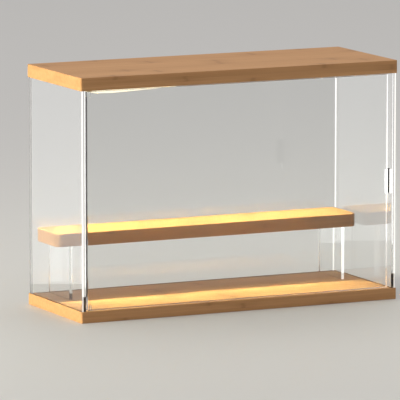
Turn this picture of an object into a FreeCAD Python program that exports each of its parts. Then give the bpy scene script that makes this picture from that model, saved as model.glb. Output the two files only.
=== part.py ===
"""Display case of clear acrylic between a bamboo base and a bamboo top.

The side and back panels stand in grooves of the two boards. A door on hidden
pivots closes the front, a bamboo riser on acrylic legs stands loose inside, and
a wedge lamp is let into the underside of the top board.

Millimetres. The origin is the centre of the base's underside, +X runs along the
length, the front is at -Y and +Z is up.
"""
import FreeCAD
import Part
import Sketcher
import os

# Driving dimensions, one sheet cell each

DIMENSIONS = {
    # Boards and panels
    "case_length": 320,
    "case_depth": 120,
    "case_height": 223,
    "base_thick": 10.5,
    "top_thick": 12,
    "corner_round": 1.5,
    "edge_ease": 0.5,
    "panel_thick": 4,
    "panel_inset": 1,
    "panel_bevel": 0.3,
    "groove_deep": 2.5,
    "groove_clear": 0.2,
    # Door and its pivots
    "door_gap_left": 1.7,
    "door_gap_right": 4.2,
    "door_gap_ends": 0.8,
    "pivot_set": 3,
    "pin_dia": 2,
    "pin_in_door": 5,
    "pin_in_board": 3,
    "pin_bevel": 0.25,
    "pin_clear": 0.05,
    "bush_dia": 3.8,
    "bush_deep": 4,
    "flange_dia": 4.8,
    "flange_thick": 0.5,
    "glue_clear": 0.02,
    # Magnetic catch
    "magnet_thick": 2.2,
    "magnet_long": 23,
    "magnet_round": 0.5,
    "magnet_clear": 0.05,
    # Riser
    "shelf_gap_ends": 3,
    "shelf_deep": 47.5,
    "shelf_thick": 12,
    "shelf_round": 6,
    "riser_gap": 0.5,
    "leg_high": 49.3,
    "leg_thick": 3,
    "leg_inset": 12.8,
    "leg_set": 0.3,
    "tenon_set": 6,
    "tenon_high": 4,
    # Lamp
    "lamp_gap_left": 1.8,
    "lamp_gap_front": 2.5,
    "lamp_deep": 12,
    "lamp_recess": 6.5,
    "lamp_wall": 1,
    "lamp_ear": 8,
    "cap_drop": 1.2,
    "chamber_drop": 1,
    "lamp_clear": 0.1,
    "guide_long": 80,
    "guide_knee": 15,
    "guide_drop_left": 3.3,
    "guide_drop_knee": 3.8,
    "guide_drop_thin": 1.45,
    "guide_round": 0.6,
    "circuit_thick": 1,
    "led_thick": 0.8,
    "led_wide": 2.8,
    "led_high": 3.5,
    "led_pitch": 4.6,
    # Lamp screws
    "screw_dia": 2,
    "screw_long": 7,
    "screw_head_dia": 3.8,
    "screw_head_high": 1.4,
    "screw_point": 1.2,
    "screw_seat_rise": 2.5,
    "screw_clear": 0.2,
    "pilot_clear": 0.03,
    # Lead and power inlet
    "lead_dia": 1.6,
    "lead_clear": 0.2,
    "lead_rise": 4.6,
    "inlet_wide": 9,
    "inlet_high": 3.2,
    "inlet_deep": 7.5,
    "inlet_round": 1.5,
    "inlet_wall": 0.3,
    "inlet_back": 1.5,
    "inlet_rise": 5.6,
    "inlet_sink": 0.2,
    "inlet_clear": 0.1,
    "tongue_wide": 6.6,
    "tongue_thick": 0.7,
    "tongue_long": 4.4,
}

# Places worked out from the sheet, written as expressions

REAR = "(dims.case_depth / 2)"
OUTER_X = "(dims.case_length / 2 - dims.panel_inset)"
INNER_X = f"({OUTER_X} - dims.panel_thick)"
OUTER_Y = "(dims.case_depth / 2 - dims.panel_inset)"
INNER_Y = f"({OUTER_Y} - dims.panel_thick)"
FLOOR = "dims.base_thick"
CEILING = "(dims.case_height - dims.top_thick)"
MIDDLE = f"(({FLOOR} + {CEILING}) / 2)"

DOOR_LEFT = f"(-{INNER_X} + dims.door_gap_left)"
DOOR_RIGHT = f"({INNER_X} - dims.door_gap_right)"
DOOR_LOW = f"({FLOOR} + dims.door_gap_ends)"
DOOR_HIGH = f"({CEILING} - dims.door_gap_ends)"
PIVOT_X = f"({DOOR_LEFT} + dims.pivot_set)"
PIVOT_Y = f"(-({OUTER_Y} + {INNER_Y}) / 2)"

SHELF_UNDER = f"({FLOOR} + dims.leg_high)"
RISER_BACK = f"({INNER_Y} - dims.riser_gap)"
RISER_FRONT = f"({RISER_BACK} - dims.shelf_deep)"
SHELF_END = f"({INNER_X} - dims.shelf_gap_ends)"
LEG_OUTER = f"({SHELF_END} - dims.leg_inset)"
LEG_INNER = f"({LEG_OUTER} - dims.leg_thick)"
LEG_FRONT = f"({RISER_FRONT} + dims.leg_set)"
LEG_BACK = f"({RISER_BACK} - dims.leg_set)"

LAMP_LEFT = f"(-{INNER_X} + dims.lamp_gap_left)"
LAMP_FRONT = f"(-{INNER_Y} + dims.lamp_gap_front)"
LAMP_BACK = f"({LAMP_FRONT} + dims.lamp_deep)"
LAMP_MIDDLE = f"({LAMP_FRONT} + dims.lamp_deep / 2)"
LAMP_ROOF = f"({CEILING} + dims.lamp_recess)"
TRAY_ROOF = f"({LAMP_ROOF} - dims.lamp_wall)"
CHAMBER_LEFT = f"({LAMP_LEFT} + dims.lamp_ear)"
CHAMBER_LOW = f"({CEILING} - dims.chamber_drop)"
CIRCUIT_LEFT = f"({CHAMBER_LEFT} + dims.lead_clear + dims.lead_dia)"
CIRCUIT_RIGHT = f"({CIRCUIT_LEFT} + dims.circuit_thick)"
GUIDE_LEFT = f"({CIRCUIT_RIGHT} + dims.led_thick)"
GUIDE_LOW = f"({CEILING} - dims.guide_drop_left)"
GUIDE_KNEE = f"({GUIDE_LEFT} + dims.guide_knee)"
GUIDE_RIGHT = f"({GUIDE_LEFT} + dims.guide_long)"
TRAY_RIGHT = f"({GUIDE_RIGHT} + dims.lamp_clear)"
LAMP_RIGHT = f"({TRAY_RIGHT} + dims.lamp_ear)"
TRAY_FRONT = f"({LAMP_FRONT} + dims.lamp_wall)"
TRAY_BACK = f"({LAMP_BACK} - dims.lamp_wall)"
SCREW_LEFT = f"({LAMP_LEFT} + dims.lamp_ear / 2)"
SCREW_RIGHT = f"({LAMP_RIGHT} - dims.lamp_ear / 2)"
SCREW_SEAT = f"({CEILING} + dims.screw_seat_rise)"

LEAD_X = f"({CHAMBER_LEFT} + dims.lead_clear + dims.lead_dia / 2)"
LEAD_Z = f"({CEILING} + dims.lead_rise)"
INLET_Z = f"({CEILING} + dims.inlet_rise)"
INLET_MOUTH = f"({REAR} - dims.inlet_sink)"
INLET_END = f"({INLET_MOUTH} - dims.inlet_deep)"
INLET_SEAT = f"({INLET_END} + dims.inlet_back)"

# How closely two places have to agree when edges are picked
tiny = 1e-4

doc = FreeCAD.newDocument("display_case")
nodes = []


# The sheet and the drawing helpers


def make_sheet():
    """Write the driving dimensions into the sheet, one named cell each."""
    sheet = doc.addObject("Spreadsheet::Sheet", "dims")
    for row, (alias, number) in enumerate(DIMENSIONS.items(), start=1):
        sheet.set(f"A{row}", alias)
        sheet.set(f"B{row}", str(number))
        sheet.setAlias(f"B{row}", alias)
    doc.recompute()
    return sheet


def value(expression):
    """Give the number that an expression has now."""
    return float(dims.evalExpression(expression.replace("dims.", "")))


def around(centre, size):
    """Give the low and high expressions of a span about its centre."""
    return f"({centre} - {size} / 2)", f"({centre} + {size} / 2)"


def grown(span, clearance):
    """Give a span that is wider by a clearance at each end."""
    low, high = span
    return f"({low} - {clearance})", f"({high} + {clearance})"


def new_body(name):
    """Start a body whose label names its node."""
    body = doc.addObject("PartDesign::Body", name)
    body.Label = name
    return body


def keep(node):
    """Count an object as a node of the case."""
    nodes.append(node)
    return node


def sketch_on(body, role, level):
    """Add a sketch on one of the body's own planes, moved along its normal to a level."""
    plane = next(item for item in body.Origin.OriginFeatures if item.Role == role)
    sketch = body.newObject("Sketcher::SketchObject", f"{body.Name}_sketch")
    sketch.AttachmentSupport = [(plane, "")]
    sketch.MapMode = "FlatFace"
    shift = f"-({level})" if role == "XZ_Plane" else level
    sketch.setExpression("AttachmentOffset.Base.z", shift)
    return sketch


def bind(sketch, kind, places, expression):
    """Add a named constraint that follows an expression."""
    index = sketch.addConstraint(Sketcher.Constraint(kind, *places, value(expression)))
    name = f"{kind}_{index}"
    sketch.renameConstraint(index, name)
    sketch.setExpression(f"Constraints.{name}", expression)


def bind_point(sketch, geometry, vertex, x, y):
    """Hold a point of the sketch at two expressions, or on an axis where one is zero."""
    for kind, axis, expression in (("DistanceX", -2, x), ("DistanceY", -1, y)):
        if expression == "0":
            sketch.addConstraint(Sketcher.Constraint("PointOnObject", geometry, vertex, axis))
        else:
            bind(sketch, kind, (-1, 1, geometry, vertex), expression)


def outline(sketch, points):
    """Draw a closed outline through points, each a pair of expressions."""
    places = [FreeCAD.Vector(value(x), value(y), 0) for x, y in points]
    first = sketch.GeometryCount
    count = len(points)
    for i in range(count):
        sketch.addGeometry(Part.LineSegment(places[i], places[(i + 1) % count]), False)
    for i in range(count):
        after = first + (i + 1) % count
        sketch.addConstraint(Sketcher.Constraint("Coincident", first + i, 2, after, 1))
    for i, (x, y) in enumerate(points):
        bind_point(sketch, first + i, 1, x, y)


def box_outline(sketch, x, y):
    """Draw a rectangle between two spans."""
    outline(sketch, [(x[0], y[0]), (x[1], y[0]), (x[1], y[1]), (x[0], y[1])])


def round_outline(sketch, x, y, radius):
    """Draw a rectangle with round corners between two spans."""
    x_low, x_high, y_low, y_high = (value(side) for side in (*x, *y))
    r = value(radius)
    point = FreeCAD.Vector
    sides = [
        (point(x_low + r, y_low, 0), point(x_high - r, y_low, 0)),
        (point(x_high, y_low + r, 0), point(x_high, y_high - r, 0)),
        (point(x_high - r, y_high, 0), point(x_low + r, y_high, 0)),
        (point(x_low, y_high - r, 0), point(x_low, y_low + r, 0)),
    ]
    centres = [
        point(x_high - r, y_low + r, 0),
        point(x_high - r, y_high - r, 0),
        point(x_low + r, y_high - r, 0),
        point(x_low + r, y_low + r, 0),
    ]
    for start, end in sides:
        sketch.addGeometry(Part.LineSegment(start, end), False)
    for i, centre in enumerate(centres):
        circle = Part.Circle(centre, point(0, 0, 1), r)
        turn = FreeCAD.Units.parseQuantity("90 deg").getValueAs("rad").Value
        sketch.addGeometry(Part.ArcOfCircle(circle, (i - 1) * turn, i * turn), False)
    for i in range(4):
        sketch.addConstraint(Sketcher.Constraint("Tangent", i, 2, 4 + i, 1))
        sketch.addConstraint(Sketcher.Constraint("Tangent", 4 + i, 2, (i + 1) % 4, 1))
        sketch.addConstraint(Sketcher.Constraint("Vertical" if i % 2 else "Horizontal", i))
    for i in range(3):
        sketch.addConstraint(Sketcher.Constraint("Equal", 4 + i, 5 + i))
    bind(sketch, "Radius", (4,), radius)
    bind(sketch, "DistanceY", (-1, 1, 0, 1), y[0])
    bind(sketch, "DistanceX", (-1, 1, 1, 1), x[1])
    bind(sketch, "DistanceY", (-1, 1, 2, 1), y[1])
    bind(sketch, "DistanceX", (-1, 1, 3, 1), x[0])


def circle_outline(sketch, x, y, diameter):
    """Draw a circle about a point."""
    centre = FreeCAD.Vector(value(x), value(y), 0)
    up = FreeCAD.Vector(0, 0, 1)
    index = sketch.addGeometry(Part.Circle(centre, up, value(diameter) / 2), False)
    bind_point(sketch, index, 3, x, y)
    bind(sketch, "Diameter", (index,), diameter)


def pad(body, sketch, length):
    """Raise a sketch along its normal."""
    feature = body.newObject("PartDesign::Pad", f"{body.Name}_pad")
    feature.Profile = sketch
    feature.setExpression("Length", length)
    doc.recompute()
    return feature


def cut(body, sketch, length, along_normal=False):
    """Sink a sketch into the body, against its normal unless told otherwise."""
    before = body.Shape.Volume
    feature = body.newObject("PartDesign::Pocket", f"{body.Name}_pocket")
    feature.Profile = sketch
    feature.Reversed = along_normal
    feature.setExpression("Length", length)
    doc.recompute()
    if not body.Shape.Volume < before:
        raise RuntimeError(f"{feature.Name} cuts nothing")
    return feature


def revolve(body, sketch):
    """Turn a half profile about the upright axis of its sketch."""
    feature = body.newObject("PartDesign::Revolution", f"{body.Name}_turned")
    feature.Profile = sketch
    feature.ReferenceAxis = (sketch, ["V_Axis"])
    doc.recompute()
    return feature


def finish_edges(body, kind, wanted, size):
    """Round or bevel the edges of the body that a test picks out."""
    base = body.Tip
    names = [f"Edge{i}" for i, edge in enumerate(base.Shape.Edges, start=1) if wanted(edge)]
    feature = body.newObject(f"PartDesign::{kind}", f"{body.Name}_{kind.lower()}")
    feature.Base = (base, names)
    feature.setExpression("Radius" if kind == "Fillet" else "Size", size)
    doc.recompute()
    return feature


def runs_along(axis):
    """Give a test for straight edges along an axis."""
    def test(edge):
        start, end = edge.firstVertex().Point, edge.lastVertex().Point
        across = end - start
        across[axis] = 0
        return edge.Curve.TypeId == "Part::GeomLine" and across.Length < tiny
    return test


def level_edges(edge):
    """Tell whether an edge lies flat, as the rim of a board does."""
    return edge.BoundBox.ZLength < tiny


def any_edge(edge):
    """Take every edge."""
    return True


def block(name, x, y, z):
    """Make a body that fills a box given by three spans."""
    body = new_body(name)
    sketch = sketch_on(body, "XY_Plane", z[0])
    box_outline(sketch, x, y)
    pad(body, sketch, f"{z[1]} - {z[0]}")
    return body


def place(body, x, y, z, upside_down=False):
    """Put a body that was drawn about its own origin at its place in the case."""
    if upside_down:
        body.Placement = FreeCAD.Placement(FreeCAD.Vector(), FreeCAD.Rotation(180, 0, 180))
    for axis, expression in zip("xyz", (x, y, z)):
        body.setExpression(f"Placement.Base.{axis}", expression)
    doc.recompute()


# Boards


def board(name, low, thick):
    """Make a board with round corners and eased rims."""
    body = new_body(name)
    sketch = sketch_on(body, "XY_Plane", low)
    round_outline(
        sketch,
        around("0", "dims.case_length"),
        around("0", "dims.case_depth"),
        "dims.corner_round",
    )
    pad(body, sketch, thick)
    finish_edges(body, "Fillet", level_edges, "dims.edge_ease")
    return body


def panel_groove(body, level, upward):
    """Cut the groove that the side and back panels stand in, open along the front."""
    sketch = sketch_on(body, "XY_Plane", level)
    x_out = f"({OUTER_X} + dims.groove_clear)"
    x_in = f"({INNER_X} - dims.groove_clear)"
    y_out = f"({OUTER_Y} + dims.groove_clear)"
    y_in = f"({INNER_Y} - dims.groove_clear)"
    outline(sketch, [
        (f"-{x_out}", f"-{y_out}"),
        (f"-{x_in}", f"-{y_out}"),
        (f"-{x_in}", y_in),
        (x_in, y_in),
        (x_in, f"-{y_out}"),
        (x_out, f"-{y_out}"),
        (x_out, y_out),
        (f"-{x_out}", y_out),
    ])
    cut(body, sketch, "dims.groove_deep", upward)


def bush_hole(body, level, upward):
    """Drill the hole for a pivot bush."""
    sketch = sketch_on(body, "XY_Plane", level)
    circle_outline(sketch, PIVOT_X, PIVOT_Y, "dims.bush_dia + 2 * dims.glue_clear")
    cut(body, sketch, "dims.bush_deep", upward)


def base_board():
    """Make the base."""
    body = board("base_board", "0", FLOOR)
    panel_groove(body, FLOOR, False)
    bush_hole(body, FLOOR, False)
    keep(body)


def top_board():
    """Make the top, with the lamp's recess, its pilot holes and the bore of its lead."""
    body = board("top_board", CEILING, "dims.top_thick")
    panel_groove(body, CEILING, True)
    bush_hole(body, CEILING, True)

    recess = sketch_on(body, "XY_Plane", CEILING)
    box_outline(
        recess,
        grown((LAMP_LEFT, LAMP_RIGHT), "dims.lamp_clear"),
        grown((LAMP_FRONT, LAMP_BACK), "dims.lamp_clear"),
    )
    cut(body, recess, "dims.lamp_recess", True)

    pilots = sketch_on(body, "XY_Plane", LAMP_ROOF)
    for x in (SCREW_LEFT, SCREW_RIGHT):
        circle_outline(pilots, x, LAMP_MIDDLE, "dims.screw_dia + 2 * dims.pilot_clear")
    cut(body, pilots, f"{SCREW_SEAT} + dims.screw_long - {LAMP_ROOF}", True)

    socket = sketch_on(body, "XZ_Plane", REAR)
    round_outline(
        socket,
        grown(around(LEAD_X, "dims.inlet_wide"), "dims.inlet_clear"),
        grown(around(INLET_Z, "dims.inlet_high"), "dims.inlet_clear"),
        "dims.inlet_round + dims.inlet_clear",
    )
    cut(body, socket, "dims.inlet_sink + dims.inlet_deep", True)

    bore = sketch_on(body, "XZ_Plane", INLET_END)
    circle_outline(bore, LEAD_X, LEAD_Z, "dims.lead_dia + 2 * dims.lead_clear")
    cut(body, bore, f"{INLET_END} - {LAMP_BACK}", True)
    keep(body)


# Panels and door


def panel(name, x, y):
    """Make a fixed panel that reaches the bottom of both grooves."""
    low = f"({FLOOR} - dims.groove_deep)"
    high = f"({CEILING} + dims.groove_deep)"
    body = block(name, x, y, (low, high))
    finish_edges(body, "Chamfer", runs_along(2), "dims.panel_bevel")
    keep(body)


def panels():
    """Make the two sides and the back, which stands between them."""
    depth = (f"-{OUTER_Y}", OUTER_Y)
    panel("left_side_panel", (f"-{OUTER_X}", f"-{INNER_X}"), depth)
    panel("right_side_panel", (INNER_X, OUTER_X), depth)
    between = (f"(-{INNER_X} + dims.groove_clear)", f"({INNER_X} - dims.groove_clear)")
    panel("back_panel", between, (INNER_Y, OUTER_Y))


def front_door():
    """Make the door, with the notch for its magnet and the holes for its pins."""
    thickness = (f"-{OUTER_Y}", f"-{INNER_Y}")
    body = block("front_door", (DOOR_LEFT, DOOR_RIGHT), thickness, (DOOR_LOW, DOOR_HIGH))
    finish_edges(body, "Chamfer", any_edge, "dims.panel_bevel")

    notch = sketch_on(body, "XZ_Plane", f"-{OUTER_Y}")
    box_outline(
        notch,
        (f"({DOOR_RIGHT} - dims.magnet_thick - dims.magnet_clear)", DOOR_RIGHT),
        grown(around(MIDDLE, "dims.magnet_long"), "dims.magnet_clear"),
    )
    cut(body, notch, "dims.panel_thick")

    for level, upward in ((DOOR_LOW, True), (DOOR_HIGH, False)):
        hole = sketch_on(body, "XY_Plane", level)
        circle_outline(hole, PIVOT_X, PIVOT_Y, "dims.pin_dia + 2 * dims.glue_clear")
        cut(body, hole, "dims.pin_in_door", upward)
    keep(body)


def pivot_pin(name, level, upside_down):
    """Make a pin that is glued into the door and stands out of its edge."""
    body = new_body(name)
    sketch = sketch_on(body, "XY_Plane", "-(dims.door_gap_ends + dims.pin_in_board)")
    circle_outline(sketch, "0", "0", "dims.pin_dia")
    pad(body, sketch, "dims.door_gap_ends + dims.pin_in_board + dims.pin_in_door")
    finish_edges(body, "Chamfer", level_edges, "dims.pin_bevel")
    place(body, PIVOT_X, PIVOT_Y, level, upside_down)
    keep(body)


def pivot_bush(name, level, upside_down):
    """Make a flanged bush whose flange lies on a board, under or over the door."""
    body = new_body(name)
    sketch = sketch_on(body, "XZ_Plane", "0")
    bore = "(dims.pin_dia / 2 + dims.pin_clear)"
    barrel = "(dims.bush_dia / 2)"
    rim = "(dims.flange_dia / 2)"
    outline(sketch, [
        (bore, "-dims.bush_deep"),
        (barrel, "-dims.bush_deep"),
        (barrel, "0"),
        (rim, "0"),
        (rim, "dims.flange_thick"),
        (bore, "dims.flange_thick"),
    ])
    revolve(body, sketch)
    place(body, PIVOT_X, PIVOT_Y, level, upside_down)
    keep(body)


def pivots():
    """Make the pins in the door and the bushes in the boards."""
    pivot_pin("door_pin_bottom", DOOR_LOW, False)
    pivot_pin("door_pin_top", DOOR_HIGH, True)
    pivot_bush("bush_bottom", FLOOR, False)
    pivot_bush("bush_top", CEILING, True)


def magnets():
    """Make the two strips of the catch, one in the door and one on the right panel."""
    thickness = (f"-{OUTER_Y}", f"-{INNER_Y}")
    height = around(MIDDLE, "dims.magnet_long")
    for name, right in (("door_magnet", DOOR_RIGHT), ("side_magnet", INNER_X)):
        body = block(name, (f"({right} - dims.magnet_thick)", right), thickness, height)
        finish_edges(body, "Fillet", runs_along(1), "dims.magnet_round")
        keep(body)


# Riser


def riser_shelf():
    """Make the shelf, with a mortise for each leg in its underside."""
    body = new_body("riser_shelf")
    sketch = sketch_on(body, "XY_Plane", SHELF_UNDER)
    length = (f"-{SHELF_END}", SHELF_END)
    round_outline(sketch, length, (RISER_FRONT, RISER_BACK), "dims.shelf_round")
    pad(body, sketch, "dims.shelf_thick")
    finish_edges(body, "Fillet", level_edges, "dims.edge_ease")

    tenon = (f"({LEG_FRONT} + dims.tenon_set)", f"({LEG_BACK} - dims.tenon_set)")
    mortises = sketch_on(body, "XY_Plane", SHELF_UNDER)
    for x in ((f"-{LEG_OUTER}", f"-{LEG_INNER}"), (LEG_INNER, LEG_OUTER)):
        box_outline(mortises, grown(x, "dims.groove_clear"), grown(tenon, "dims.groove_clear"))
    cut(body, mortises, "dims.tenon_high", True)
    keep(body)


def riser_leg(name, inner_side):
    """Make a leg: a plate with a tenon along the middle of its top."""
    body = new_body(name)
    sketch = sketch_on(body, "YZ_Plane", inner_side)
    front = f"({LEG_FRONT} + dims.tenon_set)"
    back = f"({LEG_BACK} - dims.tenon_set)"
    head = f"({SHELF_UNDER} + dims.tenon_high)"
    outline(sketch, [
        (LEG_FRONT, FLOOR),
        (LEG_BACK, FLOOR),
        (LEG_BACK, SHELF_UNDER),
        (back, SHELF_UNDER),
        (back, head),
        (front, head),
        (front, SHELF_UNDER),
        (LEG_FRONT, SHELF_UNDER),
    ])
    pad(body, sketch, "dims.leg_thick")
    full = value("dims.leg_high")

    def corner(edge):
        return runs_along(2)(edge) and abs(edge.Length - full) < tiny

    finish_edges(body, "Chamfer", corner, "dims.panel_bevel")
    keep(body)


def riser():
    """Make the shelf and its two legs."""
    riser_shelf()
    riser_leg("riser_leg_left", f"-{LEG_OUTER}")
    riser_leg("riser_leg_right", LEG_INNER)


# Lamp


def lamp_housing():
    """Make the tray: a sloping cap over the circuit, an open trough and a screwed ear at each end."""
    body = new_body("lamp_housing")
    side = sketch_on(body, "XZ_Plane", LAMP_BACK)
    outline(side, [
        (LAMP_LEFT, f"({CEILING} - dims.cap_drop)"),
        (GUIDE_LEFT, GUIDE_LOW),
        (GUIDE_LEFT, CEILING),
        (LAMP_RIGHT, CEILING),
        (LAMP_RIGHT, LAMP_ROOF),
        (LAMP_LEFT, LAMP_ROOF),
    ])
    pad(body, side, "dims.lamp_deep")

    trough = sketch_on(body, "XY_Plane", CEILING)
    box_outline(trough, (GUIDE_LEFT, TRAY_RIGHT), (TRAY_FRONT, TRAY_BACK))
    cut(body, trough, f"{TRAY_ROOF} - {CEILING}", True)

    chamber = sketch_on(body, "YZ_Plane", GUIDE_LEFT)
    box_outline(chamber, (TRAY_FRONT, TRAY_BACK), (CHAMBER_LOW, TRAY_ROOF))
    cut(body, chamber, f"{GUIDE_LEFT} - {CHAMBER_LEFT}")

    lead = sketch_on(body, "XZ_Plane", LAMP_BACK)
    circle_outline(lead, LEAD_X, LEAD_Z, "dims.lead_dia + dims.lead_clear")
    cut(body, lead, "dims.lamp_wall", True)

    for bottom, diameter, top in (
        (GUIDE_LOW, "dims.screw_head_dia", SCREW_SEAT),
        (SCREW_SEAT, "dims.screw_dia", LAMP_ROOF),
    ):
        holes = sketch_on(body, "XY_Plane", bottom)
        for x in (SCREW_LEFT, SCREW_RIGHT):
            circle_outline(holes, x, LAMP_MIDDLE, f"{diameter} + 2 * dims.screw_clear")
        cut(body, holes, f"{top} - {bottom}", True)
    keep(body)


def light_guide():
    """Make the bar that carries the light along the trough, deepest at its knee."""
    body = new_body("light_guide")
    sketch = sketch_on(body, "XZ_Plane", f"({TRAY_BACK} - dims.lamp_clear)")
    outline(sketch, [
        (GUIDE_LEFT, GUIDE_LOW),
        (GUIDE_KNEE, f"({CEILING} - dims.guide_drop_knee)"),
        (GUIDE_RIGHT, f"({CEILING} - dims.guide_drop_thin)"),
        (GUIDE_RIGHT, TRAY_ROOF),
        (GUIDE_LEFT, TRAY_ROOF),
    ])
    pad(body, sketch, f"{TRAY_BACK} - {TRAY_FRONT} - 2 * dims.lamp_clear")
    low = value(CEILING)

    def lower_rim(edge):
        return edge.BoundBox.ZMax < low and not runs_along(1)(edge)

    finish_edges(body, "Fillet", lower_rim, "dims.guide_round")
    keep(body)


def lamp_circuit():
    """Make the circuit board across the chamber and the lamps on it."""
    inside = grown((TRAY_FRONT, TRAY_BACK), "-dims.lamp_clear")
    height = (CHAMBER_LOW, TRAY_ROOF)
    keep(block("lamp_board", (CIRCUIT_LEFT, CIRCUIT_RIGHT), inside, height))

    centre = f"(({CHAMBER_LOW} + {TRAY_ROOF}) / 2)"
    chips = []
    for name, shift in (("led_front", "-dims.led_pitch"), ("led_back", "dims.led_pitch")):
        y = around(f"({LAMP_MIDDLE} + {shift} / 2)", "dims.led_wide")
        x = (CIRCUIT_RIGHT, GUIDE_LEFT)
        chips.append(block(name, x, y, around(centre, "dims.led_high")))
    keep(group("lamp_leds", chips))


def group(name, members):
    """Put equal pieces into one node as separate solids."""
    node = doc.addObject("Part::Compound", name)
    node.Label = name
    node.Links = members
    doc.recompute()
    return node


def lamp_screws():
    """Make the two screws that hold the housing up."""
    screws = []
    for name, x in (("screw_left", SCREW_LEFT), ("screw_right", SCREW_RIGHT)):
        body = new_body(name)
        sketch = sketch_on(body, "XZ_Plane", "0")
        head = "(dims.screw_head_dia / 2)"
        shank = "(dims.screw_dia / 2)"
        outline(sketch, [
            ("0", "-dims.screw_head_high"),
            (head, "-dims.screw_head_high"),
            (head, "0"),
            (shank, "0"),
            (shank, "(dims.screw_long - dims.screw_point)"),
            ("0", "dims.screw_long"),
        ])
        revolve(body, sketch)
        place(body, x, LAMP_MIDDLE, SCREW_SEAT)
        screws.append(body)
    keep(group("lamp_screws", screws))


def lamp():
    """Make the lamp in the underside of the top."""
    lamp_housing()
    light_guide()
    lamp_circuit()
    lamp_screws()


# Power


def lamp_lead():
    """Make the lead, straight from the back of the inlet to the back of the circuit board."""
    body = new_body("lamp_lead")
    sketch = sketch_on(body, "XZ_Plane", INLET_END)
    circle_outline(sketch, LEAD_X, LEAD_Z, "dims.lead_dia")
    pad(body, sketch, f"{INLET_END} - {LAMP_MIDDLE}")
    keep(body)


def power_inlet():
    """Make the socket's shell and the tongue that stands in it."""
    shell = new_body("power_inlet")
    wide = around(LEAD_X, "dims.inlet_wide")
    high = around(INLET_Z, "dims.inlet_high")
    sketch = sketch_on(shell, "XZ_Plane", INLET_MOUTH)
    round_outline(sketch, wide, high, "dims.inlet_round")
    pad(shell, sketch, "dims.inlet_deep")
    mouth = sketch_on(shell, "XZ_Plane", INLET_MOUTH)
    round_outline(
        mouth,
        grown(wide, "-dims.inlet_wall"),
        grown(high, "-dims.inlet_wall"),
        "dims.inlet_round - dims.inlet_wall",
    )
    cut(shell, mouth, "dims.inlet_deep - dims.inlet_back", True)
    keep(shell)

    keep(block(
        "inlet_tongue",
        around(LEAD_X, "dims.tongue_wide"),
        (INLET_SEAT, f"({INLET_SEAT} + dims.tongue_long)"),
        around(INLET_Z, "dims.tongue_thick"),
    ))


# Checks and files


def check():
    """Stop if an object failed or a node is not sound."""
    for item in doc.Objects:
        if "Invalid" in item.State or "Error" in item.State:
            raise RuntimeError(f"{item.Name} failed: {item.State}")
    for node in nodes:
        if node.Shape.isNull() or not node.Shape.isValid():
            raise RuntimeError(f"{node.Label} is not sound")


def write():
    """Write each node's shape to its own file."""
    os.makedirs("parts", exist_ok=True)
    for node in nodes:
        node.Shape.exportStep(f"parts/{node.Label}.step")
        print(node.Label, len(node.Shape.Solids), round(node.Shape.Volume, 1))


dims = make_sheet()
base_board()
top_board()
panels()
front_door()
pivots()
magnets()
riser()
lamp()
lamp_lead()
power_inlet()
doc.recompute()
check()
write()
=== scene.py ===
"""Looks of the acrylic display case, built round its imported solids.

Metres, in the frame of the solids: +X runs along the length, -Y out of the front
door and +Z up. Each sub-assembly is a class that dresses its own solids and builds
the small surfaces that go on them.
"""

import logging
import math
import operator
from dataclasses import dataclass
from enum import Enum, IntEnum, StrEnum
from functools import reduce
from typing import Any

import bpy
import numpy as np
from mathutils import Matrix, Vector


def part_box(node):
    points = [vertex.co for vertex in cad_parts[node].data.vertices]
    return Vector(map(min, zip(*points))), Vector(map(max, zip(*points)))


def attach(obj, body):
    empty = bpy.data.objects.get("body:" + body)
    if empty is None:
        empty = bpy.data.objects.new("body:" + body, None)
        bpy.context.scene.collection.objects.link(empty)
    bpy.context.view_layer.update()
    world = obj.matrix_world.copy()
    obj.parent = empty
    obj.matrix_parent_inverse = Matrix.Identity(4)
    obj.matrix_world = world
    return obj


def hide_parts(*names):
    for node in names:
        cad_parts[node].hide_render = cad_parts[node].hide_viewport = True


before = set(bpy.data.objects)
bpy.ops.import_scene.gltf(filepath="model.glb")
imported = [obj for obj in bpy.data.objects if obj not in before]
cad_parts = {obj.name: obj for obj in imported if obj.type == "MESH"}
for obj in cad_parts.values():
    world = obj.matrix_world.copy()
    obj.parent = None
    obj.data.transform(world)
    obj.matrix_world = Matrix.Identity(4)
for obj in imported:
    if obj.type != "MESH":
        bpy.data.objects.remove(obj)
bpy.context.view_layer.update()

log = logging.getLogger("display_case")
Colour = tuple[float, float, float]
Point = tuple[float, float, float]
Band = tuple[float, float]
Sockets = dict[str, Any]
TURN = 2 * math.pi
MILLI = 0.001
BLACK: Colour = (0, 0, 0)
MIDDLE_SHARE = 0.5
CASE_MIDDLE: Point = (0.0, 0.0, 0.11)

# How many finer layers a noise has
SOFT = 1.0
MEDIUM = 2.0
FINE = 3.0

# Numbers of the Mix node's sockets for colours
MIX_SHARE = 0
MIX_LOW = 6
MIX_HIGH = 7
MIX_RESULT = 2

# How far rays go, and no limit on how bright an indirect sample may be
BOUNCES = 24
NO_CLAMP = 0.0


class Axis(IntEnum):
    """The axes of the frame, as places in a point."""

    X = 0
    Y = 1
    Z = 2


class Side(StrEnum):
    """The sides of the case, as the solids' names have them."""

    LEFT = "left"
    RIGHT = "right"


class End(StrEnum):
    """The ends of the door's pivot, as the solids' names have them."""

    BOTTOM = "bottom"
    TOP = "top"


class Body(Enum):
    """The bodies of the frame that new pieces ride on."""

    CASE = "case"


class Slot(Enum):
    """The material slots of the record that belong to the new pieces."""

    STEEL = "steel"
    CONTACT = "brass"


# Shader graphs


def opaque(colour: Colour) -> tuple[float, float, float, float]:
    """Give a colour its full alpha."""
    return (*colour, 1.0)


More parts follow.
